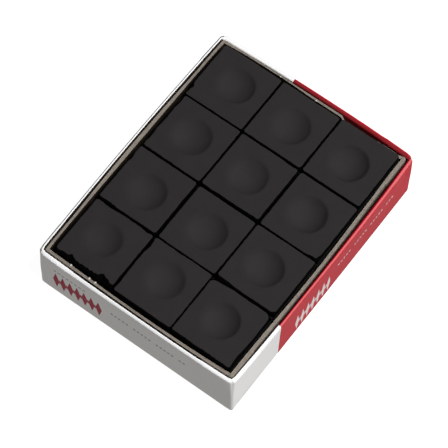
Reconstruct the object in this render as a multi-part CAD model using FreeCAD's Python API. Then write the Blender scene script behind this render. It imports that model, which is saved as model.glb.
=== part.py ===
import FreeCAD, Part
import os

# Open carton of twelve billiard cue chalks. The chalk cubes stand in a chipboard tray, three across and
# four deep, and the tray stands inside the carton's own lid, which lies upturned underneath it.
#
# Frame: millimetres, +Z up, origin at the centre of the lid's outer face, which is the face it rests on.
# X runs across the carton, and Y along it. The front is -Y and the right-hand side is +X.

# Chalk cubes and their paper labels
CUBE_SIDE = 22.2  # seven eighths of an inch, measured over the label
CUBE_GAP = 0.2  # air between neighbouring labels
COLUMNS = ("left", "middle", "right")
ROW_COUNT = 4
LABEL_THICKNESS = 0.1
LABEL_MARGIN = 3.0  # bare chalk between the label's top edge and the top of the cube
CUBE_CORNER_RADIUS = 0.5
CUBE_TOP_CHAMFER = 0.25
DISH_DIAMETER = 12.6
DISH_DEPTH = 2.3

# Tray: one scored and folded chipboard blank, with a paper stay glued round each corner
TRAY_PLAY_X = 2.0  # room left beside the block of cubes, across the tray
TRAY_PLAY_Y = 0.7  # room left along the tray
TRAY_BOARD = 1.0
TRAY_STAY = 0.2
TRAY_HEIGHT = 20.85

# Lid: a thinner blank with corner stays, covered by one printed paper wrap that turns in over the rim
LID_PLAY = 0.2  # slip between the tray's stays and the lid, on each side
LID_BOARD = 0.8
LID_STAY = 0.1
LID_WRAP = 0.1
LID_HEIGHT = 21.6
TURN_IN = 12.0  # how far the wrap reaches down inside the rim

# Shared by the tray and the lid
FOLD_RADIUS = 0.5  # outside radius of a scored fold
CORNER_RADIUS = 0.6  # outside radius of the board at an upright corner
CORNER_SEAM = 0.1  # open seam where two walls of a blank meet
STAY_LEG = 11.2  # how far a stay reaches along each wall
STAY_SETBACK = 0.3  # bare board between a stay and the fold below it, and above a tray's stay
REST_GAP = 0.05  # air left under a piece that stands on board

# Where the cubes lie in the tray: they are pushed a little towards the right and the front
BLOCK_SHIFT = (0.6, -0.3)

# Sizes that follow from the ones above
CUBE_PITCH = CUBE_SIDE + CUBE_GAP
TRAY_INNER = (
    len(COLUMNS) * CUBE_PITCH - CUBE_GAP + TRAY_PLAY_X,
    ROW_COUNT * CUBE_PITCH - CUBE_GAP + TRAY_PLAY_Y,
)
TRAY_OUTER = tuple(size + 2 * TRAY_BOARD for size in TRAY_INNER)
LID_OPENING = tuple(size + 2 * (TRAY_STAY + LID_PLAY) for size in TRAY_OUTER)
LID_BOARD_INNER = tuple(size + 2 * LID_WRAP for size in LID_OPENING)
LID_BOARD_OUTER = tuple(size + 2 * LID_BOARD for size in LID_BOARD_INNER)
LID_FLOOR = LID_WRAP + LID_BOARD
LID_STAY_BOTTOM = LID_WRAP + FOLD_RADIUS + STAY_SETBACK
TRAY_BOTTOM = LID_FLOOR + REST_GAP
TRAY_FLOOR = TRAY_BOTTOM + TRAY_BOARD
TRAY_RIM = TRAY_BOTTOM + TRAY_HEIGHT
CUBE_BOTTOM = TRAY_FLOOR + REST_GAP
CUBE_TOP = CUBE_BOTTOM + CUBE_SIDE

CORNERS = {
    "front_left": (-1, -1),
    "front_right": (1, -1),
    "back_left": (-1, 1),
    "back_right": (1, 1),
}


def block(size, bottom, top, centre=(0.0, 0.0)):
    """A plain upright box of the given (x, y) size, centred on a point in plan."""
    corner = FreeCAD.Vector(centre[0] - size[0] / 2, centre[1] - size[1] / 2, bottom)
    return Part.makeBox(size[0], size[1], top - bottom, corner)


def rounded_block(size, bottom, top, radius, base_radius=0.0, centre=(0.0, 0.0)):
    """An upright box with rounded vertical edges and, if asked for, a rounded lower edge."""
    solid = block(size, bottom, top, centre)
    upright = [edge for edge in solid.Edges if edge.BoundBox.ZLength > (top - bottom) / 2]
    solid = solid.makeFillet(radius, upright)
    if base_radius > 0:
        level = [edge for edge in solid.Edges if edge.BoundBox.ZMax < bottom + base_radius / 2]
        solid = solid.makeFillet(base_radius, level)
    return solid


def corner_zone(size, leg, bottom, top, corner):
    """The square column that takes in one corner of a box of the given size, a leg long each way."""
    centre = [side * (extent / 2 - leg / 2) for side, extent in zip(corner, size)]
    return block((leg, leg), bottom, top, centre)


def folded_blank(inner, thickness, bottom, top):
    """A floor and four walls folded up from one sheet. Each short wall stands between the long walls,
    and an open seam runs up both its ends."""
    floor = bottom + thickness
    outer = [size + 2 * thickness for size in inner]
    blank = rounded_block(outer, bottom, top, CORNER_RADIUS, FOLD_RADIUS)
    blank = blank.cut(block(inner, floor, top))
    for side_x, side_y in CORNERS.values():
        centre = (
            side_x * (inner[0] - CORNER_SEAM) / 2,
            side_y * (inner[1] + thickness) / 2,
        )
        blank = blank.cut(block((CORNER_SEAM, thickness), floor, top, centre))
    return blank


def corner_stay(outer, thickness, bottom, top, corner):
    """A strip of paper glued round the outside of one corner of a blank."""
    covered = [size + 2 * thickness for size in outer]
    band = rounded_block(covered, bottom, top, CORNER_RADIUS + thickness)
    band = band.cut(rounded_block(outer, bottom, top, CORNER_RADIUS))
    return band.common(corner_zone(covered, STAY_LEG, bottom, top, corner))


def lid_envelope(skin):
    """The lid's board and corner stays as one filled shape, grown outwards by a skin. The stays stand
    proud of the walls, so above the fold the shape is thicker near each upright corner."""
    top = LID_HEIGHT - LID_WRAP + skin
    radius = CORNER_RADIUS + skin
    size = [extent + 2 * skin for extent in LID_BOARD_OUTER]
    envelope = rounded_block(size, LID_WRAP - skin, top, radius, FOLD_RADIUS + skin)
    proud = [extent + 2 * LID_STAY for extent in size]
    bottom = LID_STAY_BOTTOM - skin
    over_stays = rounded_block(proud, bottom, top, radius + LID_STAY)
    for corner in CORNERS.values():
        zone = corner_zone(proud, STAY_LEG + 2 * skin, bottom, top, corner)
        envelope = envelope.fuse(over_stays.common(zone))
    return envelope


def lid_wrap():
    """The printed paper: one skin over the outside of the lid, across its rim and down inside it."""
    wrap = lid_envelope(LID_WRAP).cut(lid_envelope(0.0))
    wrap = wrap.fuse(block(LID_BOARD_INNER, LID_HEIGHT - TURN_IN, LID_HEIGHT))
    return wrap.cut(block(LID_OPENING, LID_FLOOR, LID_HEIGHT)).removeSplitter()


def lid_corner_stay(corner):
    """The lid's stays start above the rounded fold at its outer face, and end level with its rim."""
    top = LID_HEIGHT - LID_WRAP
    return corner_stay(LID_BOARD_OUTER, LID_STAY, LID_STAY_BOTTOM, top, corner)


def tray_corner_stay(corner):
    """The tray's stays stop just short of its fold and its rim."""
    bottom = TRAY_BOTTOM + FOLD_RADIUS + STAY_SETBACK
    return corner_stay(TRAY_OUTER, TRAY_STAY, bottom, TRAY_RIM - STAY_SETBACK, corner)


def cube_centre(column, row):
    """The plan centre of one cube, counted from the left and from the front."""
    return (
        (column - (len(COLUMNS) - 1) / 2) * CUBE_PITCH + BLOCK_SHIFT[0],
        (row - (ROW_COUNT - 1) / 2) * CUBE_PITCH + BLOCK_SHIFT[1],
    )


def chalk_block(centre):
    """A pressed block of chalk with a shallow round dish in its top face."""
    side = CUBE_SIDE - 2 * LABEL_THICKNESS
    chalk = rounded_block(
        (side, side), CUBE_BOTTOM + LABEL_THICKNESS, CUBE_TOP, CUBE_CORNER_RADIUS, centre=centre
    )
    top_edges = [edge for edge in chalk.Edges if edge.BoundBox.ZMin > CUBE_TOP - CUBE_TOP_CHAMFER]
    chalk = chalk.makeChamfer(CUBE_TOP_CHAMFER, top_edges)
    dish_radius = ((DISH_DIAMETER / 2) ** 2 + DISH_DEPTH**2) / (2 * DISH_DEPTH)
    middle = FreeCAD.Vector(centre[0], centre[1], CUBE_TOP - DISH_DEPTH + dish_radius)
    return chalk.cut(Part.makeSphere(dish_radius, middle))


def label(centre):
    """The paper label, glued to the cube's base and sides, with the cube's own shape inside."""
    side = CUBE_SIDE - 2 * LABEL_THICKNESS
    edge = CUBE_TOP - LABEL_MARGIN
    paper = rounded_block(
        (CUBE_SIDE, CUBE_SIDE),
        CUBE_BOTTOM,
        edge,
        CUBE_CORNER_RADIUS + LABEL_THICKNESS,
        centre=centre,
    )
    inside = rounded_block(
        (side, side), CUBE_BOTTOM + LABEL_THICKNESS, edge, CUBE_CORNER_RADIUS, centre=centre
    )
    return paper.cut(inside)


def carton_pieces():
    """Every piece of the carton by name, each as one solid in its place."""
    pieces = {
        "lid_board": folded_blank(
            LID_BOARD_INNER, LID_BOARD, LID_WRAP, LID_HEIGHT - LID_WRAP
        ),
        "lid_wrap": lid_wrap(),
        "tray_board": folded_blank(TRAY_INNER, TRAY_BOARD, TRAY_BOTTOM, TRAY_RIM),
    }
    for place, corner in CORNERS.items():
        pieces["lid_corner_stay_" + place] = lid_corner_stay(corner)
        pieces["tray_corner_stay_" + place] = tray_corner_stay(corner)
    for row in range(ROW_COUNT):
        for column, side in enumerate(COLUMNS):
            place = f"row{row + 1}_{side}"
            centre = cube_centre(column, row)
            pieces["chalk_" + place] = chalk_block(centre)
            pieces["label_" + place] = label(centre)
    return pieces


os.makedirs("parts", exist_ok=True)
for name, shape in carton_pieces().items():
    if len(shape.Solids) != 1 or not shape.isValid():
        raise ValueError(f"{name} is not one sound solid")
    shape.Solids[0].exportStep(f"parts/{name}.step")
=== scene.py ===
import math
from collections import namedtuple

import bpy
import numpy as np
from mathutils import Matrix, Vector, geometry, noise


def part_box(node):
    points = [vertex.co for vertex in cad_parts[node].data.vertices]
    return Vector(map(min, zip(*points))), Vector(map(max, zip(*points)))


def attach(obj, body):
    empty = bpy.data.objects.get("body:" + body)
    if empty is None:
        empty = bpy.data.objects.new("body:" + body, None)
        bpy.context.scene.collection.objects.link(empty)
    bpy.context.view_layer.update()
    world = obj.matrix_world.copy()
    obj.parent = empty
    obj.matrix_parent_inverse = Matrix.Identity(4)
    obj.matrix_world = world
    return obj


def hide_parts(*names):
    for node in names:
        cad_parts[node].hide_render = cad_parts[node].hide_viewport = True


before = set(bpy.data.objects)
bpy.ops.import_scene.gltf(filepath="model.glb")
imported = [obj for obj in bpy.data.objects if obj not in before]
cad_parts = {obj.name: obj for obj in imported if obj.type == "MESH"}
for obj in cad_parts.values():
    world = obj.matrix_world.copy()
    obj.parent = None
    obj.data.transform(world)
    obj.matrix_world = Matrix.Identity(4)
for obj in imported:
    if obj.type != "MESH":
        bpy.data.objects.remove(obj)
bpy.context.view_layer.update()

# Shapes are worked out in millimetres and turned into metres when a piece is made.
MM = 0.001
SIDES = ("left", "middle", "right")
ROWS = (1, 2, 3, 4)
CORNERS = {"front_left": (-1, -1), "front_right": (1, -1), "back_left": (-1, 1), "back_right": (1, 1)}
X, Y, Z = 0, 1, 2
EDGES = {"left": (X, -1), "right": (X, 1), "front": (Y, -1), "back": (Y, 1)}


def box_mm(node):
    """Lowest and highest corner of a CAD node at rest, in millimetres."""
    low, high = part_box(node)
    return np.array(low) / MM, np.array(high) / MM


# ----- sizes
# The sheets' thicknesses and lengths
PAPER = 0.1  # the lid's wrap, the lid's stays and the cubes' labels
LID_BOARD = 0.8
LID_WALL = PAPER + LID_BOARD + PAPER
TRAY_BOARD = 1.0
TRAY_STAY = 0.2
STAY_LEG = 11.2  # how far a stay reaches along each wall
TURN_IN = 12.0  # how far the wrap reaches down inside the lid's rim
SEAM = 0.1  # open seam where two walls of a blank meet
CUBE_SIDE = 22.2

# Places and extents, from the frame
LID_TOP = box_mm("lid_wrap")[1][Z]
LID_HALF = box_mm("lid_wrap")[1][:2] - PAPER  # between the stays, where the walls are not thickened
TRAY_BOTTOM = box_mm("tray_board")[0][Z]
TRAY_TOP = box_mm("tray_board")[1][Z]
TRAY_HALF = box_mm("tray_board")[1][:2]
CHALK_TOP = box_mm("chalk_row1_left")[1][Z]


# ----- small tools for shapes


def ripples(points, size, seed):
    """Smooth noise between about -1 and 1 at each point, with features of the given size."""
    shift = Vector((seed * 17.31, seed * 5.17, seed * 9.73))
    return np.array([noise.noise(Vector(point) / size + shift) for point in points])


def uneven(points, seed, layers):
    """Layers of smooth noise, each with its height, the size of its features and its own seed, which
    is counted from the given one."""
    return sum(height * ripples(points, size, seed + step) for height, size, step in layers)


def ease(value, start, end):
    """0 before start, 1 after end, and a smooth step between them."""
    t = np.clip((value - start) / (end - start), 0.0, 1.0)
    return t * t * (3 - 2 * t)


def mirrored(steps, half):
    """Grid lines from -half to half, with the given steps in from each end."""
    inward = np.array(sorted(set(steps)))
    return np.concatenate([inward - half, (half - inward)[::-1]])


def filled_out(pitch, *parts):
    """Grid lines given in parts, with more put in so that no gap is wider than the pitch."""
    lines = np.array(sorted(set(np.round(np.concatenate(parts), 5))))
    out = [lines[0]]
    for start, end in zip(lines[:-1], lines[1:]):
        count = max(1, math.ceil((end - start) / pitch - 1e-6))
        out += list(start + (end - start) * np.arange(1, count + 1) / count)
    return np.array(out)


def cell_centres(lines):
    """The centres of a grid's cells, as three arrays ready to combine."""
    return np.meshgrid(*((line[:-1] + line[1:]) / 2 for line in lines), indexing="ij")


def lattice(lines, filled):
    """The outside of a grid's filled cells: points, four-sided faces, and each face's axis and side."""
    padded = np.pad(filled, 1)
    counts = [len(line) for line in lines]
    quads, facing = [], []
    for axis in (X, Y, Z):
        first, second = (axis + 1) % 3, (axis + 2) % 3
        inner = [slice(1, -1)] * 3
        below, above = list(inner), list(inner)
        below[axis], above[axis] = slice(0, -1), slice(1, None)
        change = padded[tuple(below)].astype(int) - padded[tuple(above)].astype(int)
        for side in (1, -1):
            cells = np.argwhere(change == side)
            steps = ((0, 0), (1, 0), (1, 1), (0, 1))
            corners = []
            for step_first, step_second in steps[::side]:
                at = cells.copy()
                at[:, first] += step_first
                at[:, second] += step_second
                corners.append(np.ravel_multi_index(at.T, counts))
            quads.append(np.stack(corners, axis=1))
            facing += [(axis, side)] * len(cells)
    quads = np.concatenate(quads)
    used, faces = np.unique(quads, return_inverse=True)
    index = np.unravel_index(used, counts)
    points = np.stack([np.array(lines[axis])[index[axis]] for axis in (X, Y, Z)], axis=1)
    return points, faces.reshape(quads.shape), np.array(facing)


def pulled_round(away):
    """Offsets from a core, pulled in from a square outline to a round one, layer within layer."""
    reach = np.abs(away).max(axis=1)
    length = np.linalg.norm(away, axis=1)
    scale = np.divide(reach, length, out=np.ones_like(length), where=length > 1e-9)
    return away * scale[:, None]


def round_corners(points, low, high, radius):
    """Bends a box-shaped grid round the corners of the box from low to high. Layers inside the skin
    bend round the same centres, so a thin wall keeps its thickness. radius is one number for each
    point or for all of them, and low and high may hold infinities where nothing is rounded."""
    radius = np.asarray(radius, float).reshape(-1, 1) * np.ones((len(points), 3))
    core = np.clip(points, low + radius, high - radius)
    return core + pulled_round(points - core)


def open_box(half, bottom):
    """The corners of a box round the middle that has no top."""
    return np.array([-half[X], -half[Y], bottom]), np.array([half[X], half[Y], np.inf])


# ----- printed marks
# A printed mark: closed outlines on one flat side of a piece, in one of the piece's materials
Ink = namedtuple("Ink", "side outlines kind")
MARK_MARGIN = 0.3  # grid faces this near to a mark are cut anew with it
MARK_CLEARANCE = 0.35  # grid points this near to a mark's corners are left out


def lozenge(centre, half_width, half_height):
    """An upright diamond, listed anticlockwise."""
    x, y = centre
    return [(x, y - half_height), (x + half_width, y), (x, y + half_height), (x - half_width, y)]


def bar(centre, half_width, half_height):
    """An upright rectangle, listed anticlockwise."""
    x, y = centre
    sides = ((-1, -1), (1, -1), (1, 1), (-1, 1))
    return [(x + side_x * half_width, y + side_y * half_height) for side_x, side_y in sides]


def all_corners(ink):
    """Every corner of every outline of a mark."""
    return np.array([corner for outline in ink.outlines for corner in outline])


def inside(outline, point):
    """True if a point is inside a closed outline."""
    hit = False
    for (x0, y0), (x1, y1) in zip(outline, outline[1:] + outline[:1]):
        if (y0 > point[1]) != (y1 > point[1]):
            hit ^= point[0] < (x1 - x0) * (point[1] - y0) / (y1 - y0) + x0
    return hit


def faces_behind(points, faces, facing, ink, level):
    """The numbers of the grid faces behind a mark."""
    axis = ink.side[0]
    plane = [(axis + 1) % 3, (axis + 2) % 3]
    corners = all_corners(ink)
    low, high = corners.min(axis=0) - MARK_MARGIN, corners.max(axis=0) + MARK_MARGIN
    behind = []
    for number, (face, side) in enumerate(zip(faces, facing)):
        if tuple(side) != ink.side or abs(points[face[0]][axis] - level) > 1e-6:
            continue
        spread = points[np.asarray(face)][:, plane]
        if (spread.max(axis=0) > low).all() and (spread.min(axis=0) < high).all():
            behind.append(number)
    return behind


def border_edges(faces):
    """The edges that belong to only one of the faces."""
    uses = {}
    for face in faces:
        for start, end in zip(face, np.roll(face, -1)):
            edge = (min(start, end), max(start, end))
            uses[edge] = uses.get(edge, 0) + 1
    return [edge for edge, count in uses.items() if count == 1]


def print_mark(points, faces, facing, kinds, ink, level):
    """Cuts a mark's outlines into the grid faces behind it, so that its edge is exact. level is where
    the printed side lies along its axis. Returns the new points, faces, sides and material numbers."""
    axis, side = ink.side
    first, second = (axis + 1) % 3, (axis + 2) % 3
    taken = faces_behind(points, faces, facing, ink, level)
    border = border_edges([faces[number] for number in taken])
    rim = {i for edge in border for i in edge}
    inner = {i for number in taken for i in faces[number]} - rim
    corners = all_corners(ink)
    kept = sorted(rim) + sorted(
        i for i in inner
        if np.abs(corners - points[i][[first, second]]).max(axis=1).min() > MARK_CLEARANCE
    )
    place = {i: n for n, i in enumerate(kept)}
    flat = [Vector(points[i][[first, second]]) for i in kept]
    edges = [(place[start], place[end]) for start, end in border]
    for outline in ink.outlines:
        base, count = len(flat), len(outline)
        flat += [Vector(corner) for corner in outline]
        edges += [(base + n, base + (n + 1) % count) for n in range(count)]
    spots, _, triangles, origins, _, _ = geometry.delaunay_2d_cdt(flat, edges, [], 0, 1e-6)
    new_points, numbers = [], []
    for spot, sources in zip(spots, origins):
        old = [kept[n] for n in sources if n < len(kept)]
        if old:
            numbers.append(old[0])
            continue
        point = np.zeros(3)
        point[axis], point[first], point[second] = level, spot[0], spot[1]
        numbers.append(len(points) + len(new_points))
        new_points.append(point)
    plain = kinds[taken[0]]
    cut_kinds = []
    for triangle in triangles:
        middle = sum((spots[n] for n in triangle), Vector((0.0, 0.0))) / 3
        inked = any(inside(outline, middle) for outline in ink.outlines)
        cut_kinds.append(ink.kind if inked else plain)
    rest = np.setdiff1d(np.arange(len(faces)), taken)
    all_faces = [faces[n] for n in rest] + [[numbers[n] for n in t][::side] for t in triangles]
    all_facing = [tuple(facing[n]) for n in rest] + [ink.side] * len(triangles)
    all_kinds = [kinds[n] for n in rest] + cut_kinds
    if new_points:
        points = np.concatenate([points, new_points])
    return points, all_faces, all_facing, all_kinds


# ----- pieces


def add_object(name, data):
    """Puts a mesh, a light or a camera into the scene."""
    item = bpy.data.objects.new(name, data)
    bpy.context.scene.collection.objects.link(item)
    return item


def make_piece(name, points, faces, materials, kinds=None, sharp=50.0):
    """A Blender object from points in millimetres, smooth except across sharp edges."""
    mesh = bpy.data.meshes.new(name)
    mesh.from_pydata([tuple(p) for p in points * MM], [], [tuple(map(int, f)) for f in faces])
    for material in materials:
        mesh.materials.append(material)
    if kinds is not None:
        mesh.polygons.foreach_set("material_index", np.array(kinds, dtype=np.int32))
    mesh.polygons.foreach_set("use_smooth", np.ones(len(faces), dtype=bool))
    mesh.set_sharp_from_angle(angle=math.radians(sharp))
    mesh.update()
    return add_object(name, mesh)


def install(piece, body, node):
    """Says which body a piece rides on and which CAD node it stands for."""
    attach(piece, body)
    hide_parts(node)


# ----- materials


def set_inputs(node, **values):
    """Gives a node's inputs their values, or links them to other nodes' outputs. Underscores in their
    names stand for spaces."""
    for name, value in values.items():
        socket = node.inputs[name.replace("_", " ")]
        if isinstance(value, bpy.types.NodeSocket):
            node.id_data.links.new(value, socket)
        else:
            socket.default_value = value


def new_material(name, **values):
    """A material with the given inputs of its shader."""
    material = bpy.data.materials.new(name)
    material.use_nodes = True
    set_inputs(material.node_tree.nodes["Principled BSDF"], **values)
    return material


def add_noise(material, size, detail=3.0, rough=0.5):
    """A noise texture with features of the given size in millimetres, in the object's own space."""
    nodes = material.node_tree.nodes
    coords = nodes.get("Texture Coordinate") or nodes.new("ShaderNodeTexCoord")
    texture = nodes.new("ShaderNodeTexNoise")
    set_inputs(
        texture, Vector=coords.outputs["Object"], Scale=1 / (size * MM), Detail=detail, Roughness=rough
    )
    return texture.outputs["Fac"]


def add_ramp(material, value, stops):
    """A colour that follows a value. stops are (place, colour) pairs."""
    ramp = material.node_tree.nodes.new("ShaderNodeValToRGB")
    elements = ramp.color_ramp.elements
    while len(elements) < len(stops):
        elements.new(0.5)
    for element, (position, colour) in zip(elements, stops):
        element.position = position
        element.color = (*colour, 1.0)
    set_inputs(ramp, Fac=value)
    return ramp.outputs["Color"]


def mix_colours(owner, factor, first, second):
    """Mixes two colours. Each of them and the factor is a value or another node's output."""
    mix = owner.node_tree.nodes.new("ShaderNodeMix")
    mix.data_type = "RGBA"
    set_inputs(mix, Factor=factor, A=first, B=second)
    return mix.outputs["Result"]


def set_colour(material, output):
    """Gives a material's shader its colour from another node."""
    set_inputs(material.node_tree.nodes["Principled BSDF"], Base_Color=output)


def height_blend(material, start, end, low=0.0, high=1.0):
    """A value that goes from low at the start height to high at the end height."""
    nodes = material.node_tree.nodes
    split = nodes.new("ShaderNodeSeparateXYZ")
    set_inputs(split, Vector=nodes["Texture Coordinate"].outputs["Object"])
    blend = nodes.new("ShaderNodeMapRange")
    set_inputs(blend, From_Min=start * MM, From_Max=end * MM, To_Min=low, To_Max=high)
    set_inputs(blend, Value=split.outputs["Z"])
    return blend.outputs["Result"]


def add_bump(material, layers):
    """Surface relief from (value, height in millimetres) layers, the coarsest first."""
    nodes = material.node_tree.nodes
    below = None
    for value, height in layers:
        bump = nodes.new("ShaderNodeBump")
        set_inputs(bump, Strength=1.0, Distance=height * MM, Height=value)
        if below:
            set_inputs(bump, Normal=below)
        below = bump.outputs["Normal"]
    set_inputs(nodes["Principled BSDF"], Normal=below)


def chalk_material():
    """Pressed black chalk, dead matt, with a fine powdery grain. Loose powder makes it a little paler
    in the dish than on the flat top."""
    material = new_material("dusty_chalk", Roughness=0.95, Specular_IOR_Level=0.08)
    cloud = add_noise(material, 6.0, 4.0, 0.55)
    powder = add_noise(material, 0.22, 3.0, 0.6)
    broad = add_ramp(material, cloud, ((0.3, (0.0205, 0.0185, 0.0188)), (0.7, (0.0238, 0.0215, 0.0219))))
    dust_and_painted_shade = add_ramp(material, powder, ((0.3, (0.0188, 0.017, 0.0173)), (0.75, (0.0263, 0.024, 0.0244))))
    scaled = material.node_tree.nodes.new("ShaderNodeVectorMath")
    scaled.operation = "SCALE"
    paler = height_blend(material, CHALK_TOP - 0.25, CHALK_TOP - 1.0, 1.0, 1.13)
    set_inputs(scaled, Vector=mix_colours(material, 0.4, broad, dust_and_painted_shade), Scale=paler)
    set_colour(material, scaled.outputs["Vector"])
    add_bump(material, ((add_noise(material, 0.6, 2.0), 0.02), (powder, 0.012)))
    return material


def chalk_side_shade_material():
    """The sides of a block: smooth from the press, and painted nearly black as shade, standing in for the
    shade they lie in beside the walls and between the cubes.
    """
    material = new_material("chalk_side_painted_shade", Roughness=0.8, Specular_IOR_Level=0.02)
    grain = add_noise(material, 0.5, 4.0, 0.6)
    tone = add_ramp(material, grain, ((0.3, (0.0009, 0.0008, 0.0008)), (0.7, (0.0017, 0.0016, 0.0016))))
    set_colour(material, tone)
    add_bump(material, ((grain, 0.02),))
    return material


def board_material(name, dark, mid, light, fibre=0.35):
    """Uncoated recycled board: matted grey-brown fibres with flecks."""
    material = new_material(name, Roughness=0.95, Specular_IOR_Level=0.2)
    fibres = add_noise(material, fibre, 6.0, 0.7)
    flecks = add_noise(material, 1.1, 2.0, 0.5)
    base = add_ramp(material, fibres, ((0.28, dark), (0.5, mid), (0.72, light)))
    shaded = tuple(0.62 * c for c in mid)
    spots = add_ramp(material, flecks, ((0.3, shaded), (0.42, mid), (0.7, light)))
    set_colour(material, mix_colours(material, 0.4, base, spots))
    add_bump(material, ((flecks, 0.03), (fibres, 0.03)))
    return material


def printed_material(name, colour, roughness, spread=0.04, shine=0.2):
    """Coated printing paper: glossy, with the faint unevenness of the board showing through."""
    material = new_material(name, Roughness=roughness, Specular_IOR_Level=shine)
    tone = add_noise(material, 9.0, 3.0, 0.5)
    low = tuple(c * (1 - spread) for c in colour)
    high = tuple(min(1.0, c * (1 + spread)) for c in colour)
    set_colour(material, add_ramp(material, tone, ((0.3, low), (0.7, high))))
    add_bump(material, ((add_noise(material, 1.6, 2.0), 0.012), (add_noise(material, 0.3, 2.0), 0.002)))
    return material


def turn_in_shade_material(name):
    """The paper turned in over the lid's rim: painted dark as shade beside the tray's rim, where it lies in
    the narrow slot, and plain paper again lower down."""
    material = printed_material(name, (0.8, 0.8, 0.8), 0.6, 0.03, 0.05)
    unshaded_paper = material.node_tree.nodes["Principled BSDF"].inputs["Base Color"].links[0].from_socket
    grain = add_noise(material, 0.8)
    dust_and_painted_shade = add_ramp(material, grain, ((0.3, (0.016, 0.013, 0.011)), (0.7, (0.032, 0.027, 0.023))))
    depth = height_blend(material, LID_TOP - 4.0, LID_TOP - 9.0)
    set_colour(material, mix_colours(material, depth, dust_and_painted_shade, unshaded_paper))
    return material


CHALK = chalk_material()
CHALK_SIDE_SHADE = chalk_side_shade_material()
BOARD = board_material("chipboard", (0.13, 0.105, 0.08), (0.21, 0.175, 0.14), (0.3, 0.26, 0.215))
# Painted shade: nearly black board on the tray's inner wall faces, standing in for the shade in the narrow
# gaps beside the cubes.
TRAY_INNER_SHADE = board_material(
    "tray_inner_board_painted_shade", (0.01, 0.006, 0.004), (0.018, 0.012, 0.008), (0.03, 0.021, 0.015)
)
CUT_EDGE = board_material(
    "cut_board_edge", (0.13, 0.11, 0.09), (0.215, 0.186, 0.157), (0.31, 0.275, 0.235), 0.18
)
FIBRE = board_material("torn_fibre", (0.5, 0.47, 0.42), (0.62, 0.6, 0.55), (0.75, 0.73, 0.69))
STAY = board_material("gummed_stay", (0.14, 0.115, 0.09), (0.2, 0.17, 0.14), (0.27, 0.235, 0.195), 0.25)
WHITE = printed_material("white_wrap", (0.84, 0.84, 0.845), 0.4, 0.012)
RED = printed_material("red_wrap", (0.52, 0.018, 0.034), 0.35, shine=0.04)
# Painted shade: darker copies of the red paper for the inner part of the rim and the turned-in paper. The
# deeper one is for where the slot beside the tray lies in deepest shade.
SHADED_RED = printed_material("red_wrap_turn_in_painted_shade", (0.215, 0.014, 0.018), 0.5, shine=0.03)
DEEP_SHADE_RED = printed_material("red_wrap_inner_rim_painted_shade", (0.105, 0.004, 0.007), 0.5, shine=0.02)
# Painted highlight: a paler, pinker copy of the red paper along the crest of the fold on the right wall,
# which faces the light.
RED_CREST_HIGHLIGHT = printed_material("red_wrap_fold_painted_highlight", (0.53, 0.12, 0.125), 0.35, shine=0.04)
# Painted shade: a grey copy of the white paper along the fold of the left wall, which faces away from the
# light.
WHITE_FOLD_SHADE = printed_material("white_wrap_fold_painted_shade", (0.29, 0.29, 0.29), 0.5, shine=0.04)
# Painted shade on the white paper turned in inside the rim, beside the tray's rim.
TURN_IN_SHADE = turn_in_shade_material("turn_in_painted_shade")
DARK_RED_INK = printed_material("dark_red_ink", (0.42, 0.02, 0.06), 0.34, shine=0.03)
GREY_INK = printed_material("grey_ink", (0.32, 0.3, 0.3), 0.4)
WHITE_INK = printed_material("white_ink", (0.8, 0.72, 0.73), 0.34, 0.012)
# The label's charcoal print is made darker still as painted shade, standing in for the shade of the gaps
# where the labels are seen.
LABEL_DARK_AND_SHADE = printed_material("label_charcoal_and_painted_shade", (0.005, 0.005, 0.0055), 0.5)
LABEL_PALE = printed_material("label_cream", (0.1, 0.095, 0.085), 0.5)


# ----- the chalk cubes


EVEN_WEAR = 0.1  # how far an edge is worn back where nothing else is said
RAGGED_WEAR = 0.1  # how much its line wanders
DEEPEST_WEAR = 2.2
EDGE_RADIUS = 0.24  # of the top edges of a block
CORNER_RADIUS = 0.8  # of its upright edges
DISH_DEPTH = 2.5


def wear_edges(points, half, height, wear):
    """Wears the four top edges of a block back from its sides, with a ragged line and with notches.
    wear["edges"] holds the depth of wear of each edge, wear["ragged"] how much its line wanders, and
    wear["notches"] the place along the edge, the depth and the width of each notch."""
    out = points.copy()
    for number, (edge, (axis, sign)) in enumerate(EDGES.items()):
        along = points * np.eye(3)[1 - axis]
        seed = wear["seed"] * 5 + number
        wander = uneven(along, seed, ((1.0, 2.9, 0), (0.8, 0.9, 2), (0.5, 0.35, 4)))
        depth = wear["edges"].get(edge, EVEN_WEAR) + wear["ragged"].get(edge, RAGGED_WEAR) * wander
        for place, notch_depth, width in wear["notches"].get(edge, ()):
            depth += notch_depth * np.exp(-(((points[:, 1 - axis] - place) / width) ** 2))
        depth = np.clip(depth, 0.0, DEEPEST_WEAR)
        level = ease(points[:, Z], height - 0.5 - 1.1 * depth, height - 0.15)
        inward = half - sign * points[:, axis]
        out[:, axis] -= sign * depth * level * (1 - ease(inward, 0.0, DEEPEST_WEAR + 1.5 * depth))
    return out


def press_dish(points, wear, topness):
    """Presses the round dish into a block's top: crisp at its right-hand edge and softer at its left."""
    radius, deep = wear["dish_radius"], wear["dish_depth"]
    ball = (radius**2 + deep**2) / (2 * deep)
    across = np.hypot(points[:, X] - wear["dish"][0], points[:, Y] - wear["dish"][1])
    across *= 1 + 0.02 * ripples(points, 3.0, wear["seed"] + 6)
    cap = np.sqrt(np.clip(ball**2 - across**2, 0.0, None)) - (ball - deep)
    facing = (points[:, X] - wear["dish"][0]) / np.maximum(across, 0.01)
    soft = wear["dish_soft"] + 0.2 * (1 - facing)
    points[:, Z] -= topness * soft * np.logaddexp(0.0, cap / soft)


def bite(points, height, wear):
    """Breaks small pits out of a block's top. Each has its place, its height over the top and its reach."""
    for (x, y, above), reach in wear["bites"]:
        centre = np.array([x, y, height + above])
        away = points - centre
        distance = np.linalg.norm(away, axis=1)
        edge = reach * (1 + uneven(points, wear["seed"], ((0.22, 0.7, 7), (0.1, 0.3, 8))))
        hit = distance < edge
        points[hit] = centre + away[hit] * (edge[hit] / distance[hit])[:, None]


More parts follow.
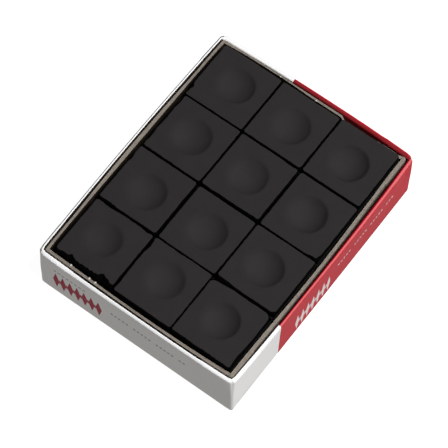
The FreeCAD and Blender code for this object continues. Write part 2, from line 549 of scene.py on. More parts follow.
def chalk_shape(points, half, height, wear):
    """Turns the grid of one block into worn chalk. The block stands on z = 0, centred in plan."""
    seed = wear["seed"]
    flat = np.array([half, half, np.inf])
    radius = EDGE_RADIUS + 0.08 * ripples(points, 4.0, seed) + 0.05 * ripples(points, 1.1, seed + 3)
    shaped = round_corners(points, -flat, np.array([half, half, height]), radius)
    plan = np.full(len(points), CORNER_RADIUS)
    for (side_x, side_y), corner_radius in wear["corners"].items():
        plan[(side_x * points[:, X] > 0) & (side_y * points[:, Y] > 0)] = corner_radius
    shaped = round_corners(shaped, -flat, flat, plan)
    shaped = wear_edges(shaped, half, height, wear)
    topness = ease(points[:, Z], height - 1.5, height - 0.2)
    shaped[:, Z] += topness * uneven(shaped, seed, ((0.05, 7.0, 1), (0.018, 1.7, 2), (0.012, 0.55, 4)))
    shaped[:, Z] += topness * (wear["tilt"][0] * shaped[:, X] + wear["tilt"][1] * shaped[:, Y]) / half
    press_dish(shaped, wear, topness)
    bite(shaped, height, wear)
    return shaped


NEAR_LEFT, NEAR_RIGHT, FAR_LEFT, FAR_RIGHT = (-1, -1), (1, -1), (-1, 1), (1, 1)

# What sets each cube apart, by row and column. Lengths are in millimetres from the cube's middle.
# "nudge" is how far the whole cube lies from its even place and "raised" how far above it, "lean" is how
# much further its top lies, and "tilt" how far its top face rises to the right and to the back.
CUBES = {
    (1, "left"): {
        "dish": (-0.7, 0.55), "dish_radius": 5.9, "dish_depth": 2.1, "dish_soft": 0.12,
        "edges": {"front": 0.85, "back": 0.3},
        "ragged": {"front": 0.4},
        "notches": {
            "front": ((-5.4, 0.9, 0.9), (6.6, 1.3, 1.3), (8.6, 0.6, 0.8)),
            "back": ((-6.0, 0.35, 3.0), (8.5, 0.35, 1.5)),
        },
        "nudge": (0.02, 0.0), "lean": (0.0, -0.1),
    },
    (1, "middle"): {
        "dish": (0.3, 0.95), "dish_radius": 6.2, "dish_depth": 2.3, "dish_soft": 0.12,
        "edges": {"left": 0.3, "right": 0.2},
        "notches": {"left": ((-7.5, 0.25, 2.0), (7.5, 0.35, 2.5))},
        "bites": [((-8.3, 8.3, 0.05), 0.3)],
        "nudge": (0.03, 0.0), "lean": (0.0, -0.2),
    },
    (1, "right"): {
        "dish": (-0.4, 0.1), "dish_radius": 6.1, "dish_depth": 2.75, "dish_soft": 0.03,
        "edges": {"back": 0.42},
        "notches": {"back": ((-9.0, 0.5, 3.0),), "right": ((-7.0, 0.45, 3.0),)},
        "corners": {FAR_LEFT: 2.0, FAR_RIGHT: 2.4},
        "bites": [((-5.2, 0.5, 0.04), 0.3), ((0.6, 5.2, 0.06), 0.34)],
        "nudge": (-0.13, 0.0), "lean": (0.0, -0.13),
    },
    (2, "left"): {
        "dish": (0.3, -0.85),
        "edges": {"front": 0.2, "right": 0.13, "left": 0.0},
        "notches": {"front": ((-8.0, 0.3, 3.0),), "left": ((6.0, 0.35, 1.2),)},
        "bites": [((-3.3, 4.9, 0.05), 0.25), ((0.6, 5.6, 0.05), 0.22)],
        "nudge": (-0.1, -0.1), "lean": (0.0, -0.12),
    },
    (2, "middle"): {
        "dish": (0.7, -0.55),
        "edges": {"back": 0.35, "left": 0.38, "front": 0.05},
        "nudge": (0.12, -0.1), "lean": (0.06, -0.11),
    },
    (2, "right"): {
        "dish": (-0.5, -0.1), "dish_radius": 6.4, "dish_depth": 2.75, "dish_soft": 0.05,
        "edges": {"front": 0.35},
        "notches": {"front": ((-8.5, 0.4, 3.0),)},
        "corners": {NEAR_RIGHT: 1.9, NEAR_LEFT: 1.2},
        "nudge": (0.15, -0.12), "lean": (0.05, -0.2),
    },
    (3, "left"): {
        "dish": (-0.25, 0.4), "dish_radius": 6.4,
        "edges": {"left": 0.25, "front": 0.15, "back": 0.0},
        "ragged": {"left": 0.2, "front": 0.16},
        "notches": {"left": ((8.0, 0.4, 1.5),)},
        "nudge": (0.05, -0.14),
    },
    (3, "middle"): {
        "dish": (-0.45, -0.15),
        "edges": {"front": 0.28, "back": 0.1, "right": 0.3},
        "notches": {"back": ((8.0, 0.25, 3.0),), "front": ((8.0, 0.25, 2.5),)},
        "nudge": (0.13, -0.12),
    },
    (3, "right"): {
        "dish": (-0.5, 0.25), "dish_radius": 6.4, "dish_depth": 2.95, "dish_soft": 0.04,
        "edges": {"left": 0.42, "front": 0.03, "back": 0.0},
        "notches": {"front": ((9.0, 0.5, 1.6),), "right": ((-10.0, 0.4, 1.2),)},
        "corners": {NEAR_RIGHT: 1.3},
        "nudge": (0.1, -0.15), "lean": (0.0, -0.12),
    },
    (4, "left"): {
        "dish": (0.66, 0.6), "dish_radius": 6.1,
        "edges": {"left": 0.0, "right": 0.0, "front": 0.0},
        "ragged": {"left": 0.14},
        "notches": {"left": ((-7.6, 0.8, 1.0), (-9.6, 0.35, 0.8))},
        "corners": {FAR_LEFT: 1.1},
        "nudge": (-0.22, -0.05), "lean": (-0.07, 0.0),
    },
    (4, "middle"): {
        "dish": (0.2, -0.7),
        "edges": {"right": 0.12, "left": 0.02, "front": 0.12},
        "bites": [((9.4, 0.6, 0.05), 0.3)],
        "nudge": (-0.08, -0.05),
    },
    (4, "right"): {
        "dish": (-0.2, -0.65), "dish_radius": 6.4, "dish_depth": 3.1, "dish_soft": 0.03,
        "edges": {"left": 0.2, "front": 0.0, "back": 0.0},
        "tilt": (0.05, 0.22),
        "nudge": (-0.1, 0.0), "raised": 0.15, "lean": (0.0, 0.12),
    },
}


def cube_number(row, side):
    """The cubes counted from the front left, row by row."""
    return (row - 1) * len(SIDES) + SIDES.index(side)


def cube_wear(row, side):
    """How one cube differs from a plain one."""
    number = cube_number(row, side)
    wander = [noise.noise(Vector((number * 3.7 + n, 0.5, 9.1))) for n in range(3)]
    wear = {
        "seed": number + 1,
        "dish_radius": 6.3,
        "dish_depth": DISH_DEPTH + 0.2 * wander[0],
        "dish_soft": 0.07,
        "tilt": (0.12 * wander[1], 0.12 * wander[2]),
        "nudge": (0.0, 0.0),
        "raised": 0.0,
        "lean": (0.0, 0.0),
        "edges": {},
        "ragged": {},
        "notches": {},
        "corners": {},
        "bites": [],
    }
    return wear | CUBES[row, side]


def settle(points, low, high, wear):
    """Puts a block or its label, shaped round z at its foot, in its place with its nudge and lean."""
    foot = np.array([(low[X] + high[X]) / 2, (low[Y] + high[Y]) / 2, low[Z]])
    out = points + foot + (*wear["nudge"], wear["raised"])
    out[:, :2] += np.outer(points[:, Z] / CUBE_SIDE, wear["lean"])
    return out


def make_chalk(row, side):
    """One pressed block of chalk with its dish, worn edges and chips."""
    place = f"row{row}_{side}"
    low, high = box_mm("chalk_" + place)
    half, height = (high[X] - low[X]) / 2, high[Z] - low[Z]
    wear = cube_wear(row, side)
    fine = (0, 0.06, 0.13, 0.22, 0.34, 0.5, 0.7, 1.0)
    across = filled_out(0.36, mirrored(fine, half))
    upright = filled_out(4.0, [0], height - np.array((4.0, 3.0, 2.5, 2.1, 1.7, 1.3) + fine))
    lines = (across, across, upright)
    points, faces, facing = lattice(lines, np.ones([len(line) - 1 for line in lines], bool))
    shaped = settle(chalk_shape(points, half, height, wear), low, high, wear)
    # Faces of the grid's sides, worn edges included, take the side finish with its painted shade.
    kinds = (facing[:, 0] != Z).astype(int)
    piece = make_piece("chalk_cube_" + place, shaped, faces, [CHALK, CHALK_SIDE_SHADE], kinds, sharp=60.0)
    install(piece, "cube_" + place, "chalk_" + place)


LABEL_CORNER = 0.6
LABEL_SEED = 40
LABEL_LOZENGES = (-5.2, 0.0, 5.2)  # their places along each side
LABEL_LOZENGE = (1.9, 4.4)  # half the width and half the height of each
LABEL_BAND = 0.5  # height of the pale band near the label's upper edge, and of the one near its foot
DARK, PALE = 0, 1


def make_label(row, side):
    """The printed paper glued round a cube and under its base."""
    place = f"row{row}_{side}"
    low, high = box_mm("label_" + place)
    half, height = (high[X] - low[X]) / 2, high[Z] - low[Z]
    seed = LABEL_SEED + cube_number(row, side)
    across = filled_out(2.2, mirrored((0, PAPER, 0.25, 0.42, LABEL_CORNER), half))
    bands = (1.0, 1.0 + LABEL_BAND, height - 1.4 - LABEL_BAND, height - 1.4)
    upright = filled_out(2.2, (0, PAPER, 0.3, LABEL_CORNER, height), bands)
    lines = (across, across, upright)
    x, y, z = cell_centres(lines)
    skin = (np.maximum(np.abs(x), np.abs(y)) > half - PAPER) | (z < PAPER)
    points, faces, facing = lattice(lines, skin)
    middles = points[faces].mean(axis=1)
    lower = (middles[:, Z] > bands[0]) & (middles[:, Z] < bands[1])
    upper = (middles[:, Z] > bands[2]) & (middles[:, Z] < bands[3])
    outside = np.abs(middles[:, :2]).max(axis=1) > half - PAPER / 2
    kinds = np.where((upper | lower) & outside, PALE, DARK)
    for axis, sign in ((X, 1), (X, -1), (Y, 1), (Y, -1)):
        marks = [lozenge((offset, height / 2), *LABEL_LOZENGE) for offset in LABEL_LOZENGES]
        if axis == Y:
            marks = [[(up, along) for along, up in reversed(mark)] for mark in marks]
        ink = Ink((axis, sign), marks, PALE)
        points, faces, facing, kinds = print_mark(points, faces, facing, kinds, ink, sign * half)
    shaped = round_corners(points, *open_box((half, half), 0.0), LABEL_CORNER)
    pull = 0.02 * ripples(shaped, 5.0, seed) * ease(points[:, Z], 0.0, 2.0)
    shaped[:, :2] *= (1 + pull / half)[:, None]
    top_edge = ease(points[:, Z], height - 0.5, height)
    shaped[:, Z] += top_edge * 0.12 * ripples(shaped * [1, 1, 0], 8.0, seed + 1)
    shaped = settle(shaped, low, high, cube_wear(row, side))
    finishes = [LABEL_DARK_AND_SHADE, LABEL_PALE]
    piece = make_piece("cube_label_" + place, shaped, faces, finishes, kinds, sharp=38.0)
    install(piece, "cube_" + place, "label_" + place)


# ----- folded board: the tray and the lid


def wall_depth(x, y, half):
    """How far a place in plan lies inside the outer face of the nearest wall."""
    return np.minimum(half[X] - np.abs(x), half[Y] - np.abs(y))


def depth_in_wall(points, half):
    """The same for a list of points."""
    return wall_depth(points[:, X], points[:, Y], half)


def move_in_wall(points, half, shift):
    """Moves each point square to its nearest wall, inwards, keeping corners mitred."""
    out = points.copy()
    depth = depth_in_wall(points, half)
    for axis in (X, Y):
        own = half[axis] - np.abs(points[:, axis])
        at_wall = own < depth + 1e-6
        out[:, axis] -= np.sign(points[:, axis]) * np.where(at_wall, shift, 0.0)
    return out


def bowed(points, half, wall, bottom, top, bulge, foot=None):
    """Pushes the walls of a tray or lid out, more and more towards the rim. bulge gives two functions
    for each wall, of the place along it (-1 to 1) in millimetres: one for its outer face and one for
    its inner face. foot gives one function for each wall, which counts more and more towards its foot."""
    out = points.copy()
    rise = np.clip((points[:, Z] - bottom) / (top - bottom), 0.0, 1.0) ** 1.3
    inward = np.clip(depth_in_wall(points, half) / wall, 0.0, 1.0)
    for name, (axis, sign) in EDGES.items():
        other = 1 - axis
        near = ease(sign * points[:, axis], half[axis] - 4.5, half[axis] - 2.0)
        along = np.clip(points[:, other] / half[other], -1.0, 1.0)
        outer, inner = bulge[name]
        out[:, axis] += sign * near * rise * ((1 - inward) * outer(along) + inward * inner(along))
        if foot:
            out[:, axis] += sign * near * (1 - rise) * foot[name](along)
    return out


def round_rim(points, half, wall, top, radius):
    """Rounds the rim of a wall of the given thickness."""
    depth = depth_in_wall(points, half)
    in_wall = depth < wall + 1e-6
    core_depth = np.clip(depth, radius, wall - radius)
    core_height = np.minimum(points[:, Z], top - radius)
    away = pulled_round(np.stack([depth - core_depth, points[:, Z] - core_height], axis=1))
    out = move_in_wall(points, half, np.where(in_wall, core_depth + away[:, 0] - depth, 0.0))
    out[:, Z] = np.where(in_wall, core_height + away[:, 1], points[:, Z])
    return out


# The lid's rim, folds and corners
FOLD = 0.75  # outside radius of the fold round the lid's outer face
CORNER = 1.6  # outside radius of the lid's upright corners at the rim
RIM = 0.47  # how round the rim is
SHOULDER = 0.28  # how far the lid's outer face leans in at the rim
SHOULDER_HEIGHT = 1.1
EAR = 0.06  # how far the ears, folded in under the wrap at the corners, lift it
PLEATS = (43.7, 44.8, 45.9, 46.7)  # where the wrap is gathered, on the right wall near the back corner
PLEAT_WIDTH = 0.24
PLEAT_HEIGHT = 0.13
STAY_SLOPE = (0.4, 0.1)  # the wrap climbs onto a stay from this far before its end to this far past it

# The tray's cut rim
PLIES = (0.36, 0.64)  # depths in the board of the lines between its plies
PLY_WIDTH = 0.035
PLY_DEPTH = 0.09
FRONT_STAY_RISE = 0.26  # how far the front stays reach up beyond the others
BURRS = {"front": (-25.8, -18.6, -16.3), "back": (-13.0, 1.0)}  # places of torn fibres along two walls
BURR_WIDTH = 0.35
BURR_HEIGHT = 0.35


def pushed_in(along):
    """The right-hand third of the tray's back wall is pressed in against its cube."""
    depth = 0.95 - 0.35 * ease(along, 0.6, 0.88)
    return depth * ease(along, 0.305, 0.34) * (1 - ease(along, 0.93, 0.99))


# How far each wall stands out at its rim: its outer face and its inner face, by the place a along the
# wall, from -1 to 1
LID_BULGE = {
    "left": (lambda a: 0.97 - 0.7 * a**2, lambda a: 0.92 - 0.72 * a**2),
    "right": (
        lambda a: 0.16 + 0.78 * (1 - a**2) ** 0.7 + 0.6 * np.maximum(a, 0.0) * (1 - a**2),
        lambda a: 0.76 * (1 - a**2) * (1 - 0.3 * a) - 0.14 * np.maximum(-a, 0.0),
    ),
    "front": (
        lambda a: 0.7 - 0.55 * a**4,
        lambda a: 0.03 + 0.04 * a + 0.56 * (1 - a**2) * (1 + 0.25 * a) - 0.15 * ease(abs(a), 0.63, 0.7),
    ),
    "back": (lambda a: 0.57 + 0.68 * (1 - a**2) * (1 + 0.4 * a), lambda a: 0.7 - 0.8 * a**2),
}
TRAY_BULGE = {
    "left": (lambda a: 0.7 * (1 - a**2) ** 2, lambda a: 0.4 * (1 - a**6)),
    "right": (
        lambda a: 0.53 * (1 - a**2) ** 2 * (1 - 0.3 * a) - 0.27 * ease(a, 0.25, 0.8),
        lambda a: 0.68 * (1 - a**2) ** 3 * (1 - 0.5 * a) - 0.2 * ease(a, 0.58, 0.85),
    ),
    "front": (
        lambda a: 0.63 * (1 - a**2) ** 0.8 * (1 + 0.45 * a),
        lambda a: 0.86 * (1 - a**2) * (1 + 0.2 * a),
    ),
    "back": (
        lambda a: 0.42 * (1 - a**4) - pushed_in(a),
        lambda a: (0.68 + 0.28 * ease(-a, 0.0, 0.3)) * (1 - a**4) - pushed_in(a),
    ),
}
# How far the foot of each of the lid's walls stands out
LID_FOOT = {
    "left": lambda a: -0.2,
    "right": lambda a: 0.28 + 0.06 * (1 - a**2) * (1 + a),
    "front": lambda a: 0.32,
    "back": lambda a: -0.2,
}


def over_stay(places, half):
    """1 where a stay lies under the wrap, 0 along the bare wall, by the place along the wall."""
    end = half - STAY_LEG
    return ease(np.abs(places), end - STAY_SLOPE[0], end + STAY_SLOPE[1])


def lid_shape(points, is_wrap=False):
    """Turns the lid's square grid into the real lid: rounded rim, folds and corners, bulging walls and
    slightly uneven paper. The wrap's outer skin stands out over the stays and is pleated at one corner."""
    x, y, z = points.T
    depth = depth_in_wall(points, LID_HALF)
    out = round_rim(points, LID_HALF, LID_WALL, LID_TOP, RIM)
    lean = SHOULDER * np.clip((z - LID_TOP) / SHOULDER_HEIGHT + 1, 0.0, 1.0) ** 2
    out = move_in_wall(out, LID_HALF, lean * (1 - np.clip(depth / LID_WALL, 0.0, 1.0)))
    out = round_corners(out, *open_box(LID_HALF, 0.0), FOLD + (CORNER - FOLD) * ease(z, 10.0, 21.5))
    skin = is_wrap * (1 - ease(depth, PAPER, PAPER + 0.1))
    side_wall = LID_HALF[X] - np.abs(x) < LID_HALF[Y] - np.abs(y)
    proud = PAPER * skin * ease(z, 0.7, 1.1)
    ear = EAR * skin * (1 - ease(np.abs(x), LID_HALF[X] - 1.7, LID_HALF[X] - 1.5))
    out[:, X] += np.sign(x) * np.where(side_wall, proud * over_stay(y, LID_HALF[Y]), 0.0)
    out[:, Y] += np.sign(y) * np.where(side_wall, 0.0, proud * over_stay(x, LID_HALF[X]) + ear)
    out = bowed(out, LID_HALF, LID_WALL, 0.0, LID_TOP, LID_BULGE, LID_FOOT)
    wave = ease(z, 0.5, 3.0) * uneven(out, 61, ((0.05, 13.0, 0), (0.02, 4.0, 1)))
    near_x, near_y = (ease(np.abs(points[:, axis]), LID_HALF[axis] - 4, LID_HALF[axis]) for axis in (X, Y))
    creases = 0.09 * (near_x * near_y) * ease(z, 15.0, 20.0) * ripples(out, 1.1, 63)
    gathered = sum(np.exp(-(((y - place) / PLEAT_WIDTH) ** 2)) for place in PLEATS)
    pleats = PLEAT_HEIGHT * gathered * (x > LID_HALF[X] - 0.5) * skin * ease(z, 6.0, 17.0)
    return move_in_wall(out, LID_HALF, (wave + creases) * (depth < LID_WALL + 0.01) - pleats)


def burrs(points):
    """How much each point near the tray's rim belongs to a torn fibre."""
    share = np.zeros(len(points))
    for wall, places in BURRS.items():
        _, sign = EDGES[wall]
        for place in places:
            share += (sign * points[:, Y] > 0) * np.exp(-(((points[:, X] - place) / BURR_WIDTH) ** 2))
    return share


def tray_shape(points):
    """Turns the tray's square grid into the real tray, with its ply lines along the cut rim."""
    out = round_rim(points, TRAY_HALF, TRAY_BOARD, TRAY_TOP, 0.12)
    out = round_corners(out, *open_box(TRAY_HALF + TRAY_STAY, TRAY_BOTTOM), 0.9)
    depth = depth_in_wall(points, TRAY_HALF)
    cut = ease(points[:, Z], TRAY_TOP - 0.15, TRAY_TOP) * (depth > -0.01) * (depth < TRAY_BOARD + 0.01)
    plies = sum(np.exp(-(((depth - place) / PLY_WIDTH) ** 2)) for place in PLIES)
    out[:, Z] -= cut * plies * PLY_DEPTH * (0.75 + 0.5 * ripples(points, 2.5, 71))
    out[:, Z] += cut * uneven(points, 72, ((0.035, 0.8, 0), (0.06, 9.0, 1)))
    torn = cut * burrs(points) * ease(depth, 0.3, 0.6)
    out[:, Z] += BURR_HEIGHT * torn
    out[:, Y] -= np.sign(points[:, Y]) * 0.25 * torn
    return bowed(out, TRAY_HALF, TRAY_BOARD, TRAY_BOTTOM, TRAY_TOP, TRAY_BULGE)


def wall_lines(half, steps, pitch, extra_x=(), extra_y=()):
    """Grid lines across a tray or lid: fine inside its walls and even between them."""
    return (
        filled_out(pitch, mirrored(steps, half[X]), extra_x),
        filled_out(pitch, mirrored(steps, half[Y]), extra_y),
    )


RED_FROM_X = -9.0  # the red field begins here, and goes on to the right and to the back
RED_FROM_Y = -23.6
FRONT, RIGHT, UNDER = (Y, -1), (X, 1), (Z, -1)
LETTER_PITCH = 2.75
RULE_PITCH = 1.45
LID_FINISHES = [
    WHITE, RED, DARK_RED_INK, GREY_INK, WHITE_INK, SHADED_RED, RED_CREST_HIGHLIGHT, WHITE_FOLD_SHADE, TURN_IN_SHADE, DEEP_SHADE_RED,
]


def finish(material):
    """A material's number on the lid's wrap."""
    return LID_FINISHES.index(material)


def ruled(start, end):
    """Places of small bars in groups of five."""
    return [place for n, place in enumerate(np.arange(start, end, RULE_PITCH)) if n % 6 != 5]


def lid_marks():
    """Generic printed ornaments, in the order of their coordinates on each printed side: front is
    (z, x), right is (y, z) and the underside is (x, y)."""
    front_row = [lozenge((9.4, x), 5.0, 1.25) for x in np.arange(-30.3, -13.0, LETTER_PITCH)]
    front_row += [lozenge((9.4, x), 1.7, 0.34) for x in np.arange(-28.925, -14.0, LETTER_PITCH)]
    front_note = [bar((15.9, x), 0.35, 0.5) for x in np.arange(-30.5, -19.0, 1.6)]
    front_rule = [bar((12.6, x), 0.5, 0.42) for x in ruled(-8.6, 20.0)]
    right_row = [lozenge((y, 7.2), 1.0, 5.3) for y in np.arange(-14.0, 3.0, LETTER_PITCH)]
    right_row += [lozenge((y, 7.2), 0.34, 1.8) for y in np.arange(-12.625, 2.0, LETTER_PITCH)]
    right_rule = [bar((y, 13.0), 0.42, 0.4) for y in ruled(7.4, 36.5)]
    under_row = [lozenge((x, 10.0), 2.6, 7.6) for x in (1.0, 7.4, 13.8, 20.2, 26.6)]
    return [
        Ink(FRONT, front_row, finish(DARK_RED_INK)),
        Ink(FRONT, front_note, finish(GREY_INK)),
        Ink(FRONT, front_rule, finish(GREY_INK)),
        Ink(RIGHT, right_row, finish(WHITE_INK)),
        Ink(RIGHT, right_rule, finish(WHITE_INK)),
        Ink(UNDER, under_row, finish(WHITE_INK)),
    ]


def wrap_kinds(middles, facing):
    """The finish of each face of the wrap. Inside the rim the red paper is painted dark as shade, less so
    at the back, and the white paper is painted dark as shade, but not at the back. Along the right wall the
    red fold's crest takes a painted highlight, and along the left wall the white fold takes painted shade."""
    x, y, z = middles.T
    inward = depth_in_wall(middles, LID_HALF)
    red = (x > RED_FROM_X) & (y > RED_FROM_Y)
    at_back = y > LID_HALF[Y] - LID_WALL - 0.01
    above_end = z > LID_TOP - TURN_IN
    # Red paper inside the rim takes painted shade.
    shaded = red & above_end & (inward > np.where(at_back, 0.03, 0.4) * LID_WALL)
    inner_face = (inward > LID_WALL - 0.01) & above_end & (facing[:, 0] != Z)
    # White inner faces below the rim, except at the back, take painted shade.
    slot_shade = inner_face & ~at_back & (z < LID_TOP - 0.05)
    # The crest of the fold along the right wall takes a painted highlight.
    crest = (z > LID_TOP - 0.5) & (inward < 0.17) & (x > LID_HALF[X] - LID_WALL)
    # The fold along the left wall takes painted shade.
    fold = (z > LID_TOP - 0.9) & (inward < 0.22) & (x < LID_WALL - LID_HALF[X])
    choices = [
        (shaded & at_back, SHADED_RED),
        (shaded, DEEP_SHADE_RED),
        (red & crest, RED_CREST_HIGHLIGHT),
        (red, RED),
        (slot_shade, TURN_IN_SHADE),
        (fold, WHITE_FOLD_SHADE),
    ]
    return np.select([where for where, _ in choices], [finish(m) for _, m in choices], finish(WHITE))


def make_lid_paper():
    """The lid's printed wrap: one sheet over the outside, across the rim and down inside it."""
    steps = (0, PAPER, 0.2, 0.3, 0.42, 0.5, 0.58, 0.7, 0.75, 0.8, 0.9, 1.0, 9.5, 9.8, 10.1, 10.4)
    pleated = np.arange(43.0, 46.4, 0.17)
    across, along = wall_lines(LID_HALF, steps, 1.6, (RED_FROM_X,), (RED_FROM_Y, *pleated))
    rim = LID_TOP - np.array((0, PAPER, 0.2, 0.3, 0.42, 0.6, 0.85, 1.1, 1.5))
    foot = (0, PAPER, 0.25, 0.42, 0.6, 0.75, 1.1)
    lines = (across, along, filled_out(1.6, foot, [LID_TOP - TURN_IN], rim))
    x, y, z = cell_centres(lines)
    depth = wall_depth(x, y, LID_HALF)
    skin = (depth < PAPER) | (z < PAPER) | ((depth < LID_WALL) & (z > LID_TOP - PAPER))
    turned_in = (depth > LID_WALL - PAPER) & (depth < LID_WALL) & (z > LID_TOP - TURN_IN)
    points, faces, facing = lattice(lines, skin | turned_in)
    kinds = wrap_kinds(points[faces].mean(axis=1), facing)
    levels = {FRONT: -LID_HALF[Y], RIGHT: LID_HALF[X], UNDER: 0.0}
    for ink in lid_marks():
        points, faces, facing, kinds = print_mark(points, faces, facing, kinds, ink, levels[ink.side])
    piece = make_piece("lid_paper", lid_shape(points, True), faces, LID_FINISHES, kinds)
    install(piece, "lid", "lid_wrap")


def blank_cells(lines, half, outer, wall, bottom, top):
    """The cells of a folded blank: a floor, and walls with an open seam at each end of the short ones."""
    x, y, z = cell_centres(lines)
    depth = wall_depth(x, y, half)
    board = (depth > outer) & (depth < outer + wall) & (z > bottom) & (z < top)
    floor = (depth > outer) & (z > bottom) & (z < bottom + wall)
    inner_x = half[X] - outer - wall
    in_short_wall = half[Y] - np.abs(y) < outer + wall
    seam = in_short_wall & (np.abs(x) < inner_x) & (np.abs(x) > inner_x - SEAM) & (z > bottom + wall)
    return (board | floor) & ~seam


def make_lid_board():
    """The lid's chipboard blank, seen inside it below the turned-in paper."""
    steps = (0, PAPER, 0.3, 0.42, 0.58, 0.75, 0.9, 1.0, 1.4)
    across, along = wall_lines(LID_HALF, steps, 2.4)
    rim = LID_TOP - np.array((PAPER, 0.3, 0.42, 0.85, 1.1))
    lines = (across, along, filled_out(2.4, (PAPER, 0.42, 0.75, 0.9), rim))
    cells = blank_cells(lines, LID_HALF, PAPER, LID_BOARD, PAPER, LID_TOP - PAPER)
    points, faces, _ = lattice(lines, cells)
    piece = make_piece("lid_blank", lid_shape(points), faces, [BOARD])
    install(piece, "lid", "lid_board")


def make_tray_board():
    """The tray's chipboard blank, with paler cut edges along its rim and painted shade on the inner faces
    of its walls.
    """
    plies = [place + step for place in PLIES for step in (-0.06, -0.03, 0, 0.03, 0.06)]
    steps = (0, 0.06, 0.2, *plies, 0.5, 0.8, 0.94, 1.0, 1.1)
    beside = [x + step for places in BURRS.values() for x in places for step in (-0.5, -0.2, 0.2, 0.5)]
    across, along = wall_lines(TRAY_HALF, steps, 1.0, beside)
    rim = TRAY_TOP - np.array((0, 0.06, 0.12, 0.3, 1.0))
    floor = TRAY_BOTTOM + np.array((0, 0.3, 0.6, 0.9, 1.0))
    lines = (across, along, filled_out(2.4, floor, rim))
    cells = blank_cells(lines, TRAY_HALF, 0.0, TRAY_BOARD, TRAY_BOTTOM, TRAY_TOP)
    points, faces, facing = lattice(lines, cells)
    middles = points[faces].mean(axis=1)
    depth = depth_in_wall(middles, TRAY_HALF)
    at_rim = points[faces][:, :, Z].min(axis=1) > TRAY_TOP - 0.13
    # The inner faces of the walls below the rim are painted nearly black as shade.
    inner_shade_faces = (facing[:, 0] != Z) & (depth > TRAY_BOARD - 0.01) & ~at_rim
    burr = at_rim & (depth > 0.4) & (burrs(middles) > 0.4)
    finishes = [BOARD, FIBRE, CUT_EDGE, TRAY_INNER_SHADE]
    kinds = np.select([burr, at_rim, inner_shade_faces], [1, 2, 3], 0)
    piece = make_piece("tray_blank", tray_shape(points), faces, finishes, kinds)
    install(piece, "tray", "tray_board")


def make_stay(owner, place, half, outer, thickness, shape):
    """A strip of paper glued round the outside of one upright corner of the tray or the lid. outer is
    how deep its inner face lies in the walls' grid, and shape turns that grid into the real walls."""
    node = f"{owner}_corner_stay_{place}"
    low, high = box_mm(node)
    corner = np.array(CORNERS[place])
    reach = np.array(half) - outer
    steps = np.array((0, 0.3, 0.6, 0.9, 1.0, STAY_LEG))
    lines = []
    for axis in (X, Y):
        edge = reach[axis] + thickness
        lines.append(np.sort(corner[axis] * filled_out(1.6, edge - steps, [reach[axis]])))
    lines.append(filled_out(2.0, (low[Z], low[Z] + 0.1, high[Z] - 0.1, high[Z])))
    x, y, _ = cell_centres(lines)
    depth = wall_depth(x, y, half)
    points, faces, _ = lattice(lines, (depth > outer - thickness) & (depth < outer))
    if owner == "tray":
        top = ease(points[:, Z], high[Z] - 0.15, high[Z]) * (points[:, Y] < -TRAY_HALF[Y])
        points[:, Z] += FRONT_STAY_RISE * top
    piece = make_piece(f"{owner}_stay_{place}", shape(points), faces, [STAY])
    install(piece, owner, node)


make_lid_paper()
make_lid_board()
make_tray_board()
for corner_name in CORNERS:
    make_stay("tray", corner_name, TRAY_HALF, 0.0, TRAY_STAY, tray_shape)
    make_stay("lid", corner_name, LID_HALF, PAPER, PAPER, lid_shape)
for row_number in ROWS:
    for side_name in SIDES:
        make_chalk(row_number, side_name)
        make_label(row_number, side_name)


# ----- floor, light and camera
FLOOR_REACH = 4.0
FLOOR_LEVEL = -0.03 * MM  # a hair below the carton, so that the two faces don't coincide
FLOOR_GLOW = 0.93
KEY_DIRECTION = (0.46, 0.12, 0.86)
KEY_DISTANCE = 1.0
KEY_SIZE = 0.5
KEY_POWER = 13.3
ABOVE = (0.13, 0.13, 0.13, 1.0)
BELOW = (0.495, 0.478, 0.455, 1.0)
CAMERA_ANGLES = (34.8, 64.3, 1.8)  # azimuth to the right of the front, elevation and roll, in degrees
CAMERA_AIM = Vector((0.61, -2.39, 12.0)) * MM
CAMERA_DISTANCE = 872.3 * MM
FOCAL_LENGTH = 224.6
SENSOR_WIDTH = 36.0


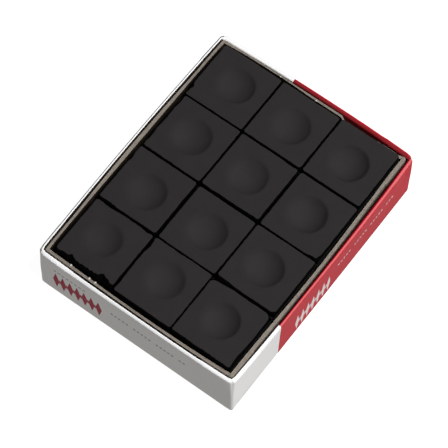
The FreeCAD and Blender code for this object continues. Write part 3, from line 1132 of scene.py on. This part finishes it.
def make_floor():
    """A plain pale floor that glows a little, so that it stays pale round the object."""
    mesh = bpy.data.meshes.new("floor")
    corners = [(-1, -1), (1, -1), (1, 1), (-1, 1)]
    corners = [(x * FLOOR_REACH, y * FLOOR_REACH, FLOOR_LEVEL) for x, y in corners]
    mesh.from_pydata(corners, [], [(0, 1, 2, 3)])
    mesh.materials.append(new_material(
        "floor_paint", Base_Color=(0.3, 0.3, 0.3, 1.0), Roughness=0.9,
        Emission_Color=(1.0, 1.0, 1.0, 1.0), Emission_Strength=FLOOR_GLOW,
    ))
    floor = add_object("floor", mesh)
    floor.visible_diffuse = False
    floor.visible_glossy = False


def make_light():
    """One square studio light, high up to the right, that faces the object."""
    light = bpy.data.lights.new("key", "AREA")
    light.shape = "SQUARE"
    light.size = KEY_SIZE
    light.energy = KEY_POWER
    lamp = add_object("key", light)
    away = Vector(KEY_DIRECTION).normalized()
    lamp.location = away * KEY_DISTANCE
    lamp.rotation_euler = away.to_track_quat("Z", "Y").to_euler()


def make_camera():
    """A long lens from the front right, well above the carton."""
    azimuth, elevation, roll = (math.radians(angle) for angle in CAMERA_ANGLES)
    back = Vector((
        math.sin(azimuth) * math.cos(elevation),
        -math.cos(azimuth) * math.cos(elevation),
        math.sin(elevation),
    ))
    level = Vector((math.cos(azimuth), math.sin(azimuth), 0.0))
    upward = back.cross(level)
    right = level * math.cos(roll) + upward * math.sin(roll)
    up = upward * math.cos(roll) - level * math.sin(roll)
    lens = bpy.data.cameras.new("camera")
    lens.lens = FOCAL_LENGTH
    lens.sensor_width = SENSOR_WIDTH
    camera = add_object("camera", lens)
    camera.location = CAMERA_AIM + back * CAMERA_DISTANCE
    camera.rotation_mode = "QUATERNION"
    camera.rotation_quaternion = Matrix((right, up, back)).transposed().to_quaternion()
    bpy.context.scene.camera = camera


def make_world():
    """Dim, even light from above, and more and warmer light from below, as a pale table gives back."""
    world = bpy.data.worlds.new("studio")
    world.use_nodes = True
    nodes = world.node_tree.nodes
    coords = nodes.new("ShaderNodeTexCoord")
    split = nodes.new("ShaderNodeSeparateXYZ")
    set_inputs(split, Vector=coords.outputs["Generated"])
    level = nodes.new("ShaderNodeMapRange")
    set_inputs(level, Value=split.outputs["Z"], From_Min=-0.1, From_Max=0.1)
    colour = mix_colours(world, level.outputs["Result"], BELOW, ABOVE)
    set_inputs(nodes["Background"], Color=colour)
    bpy.context.scene.world = world


make_floor()
make_light()
make_camera()
make_world()
bpy.context.scene.view_settings.view_transform = "Standard"
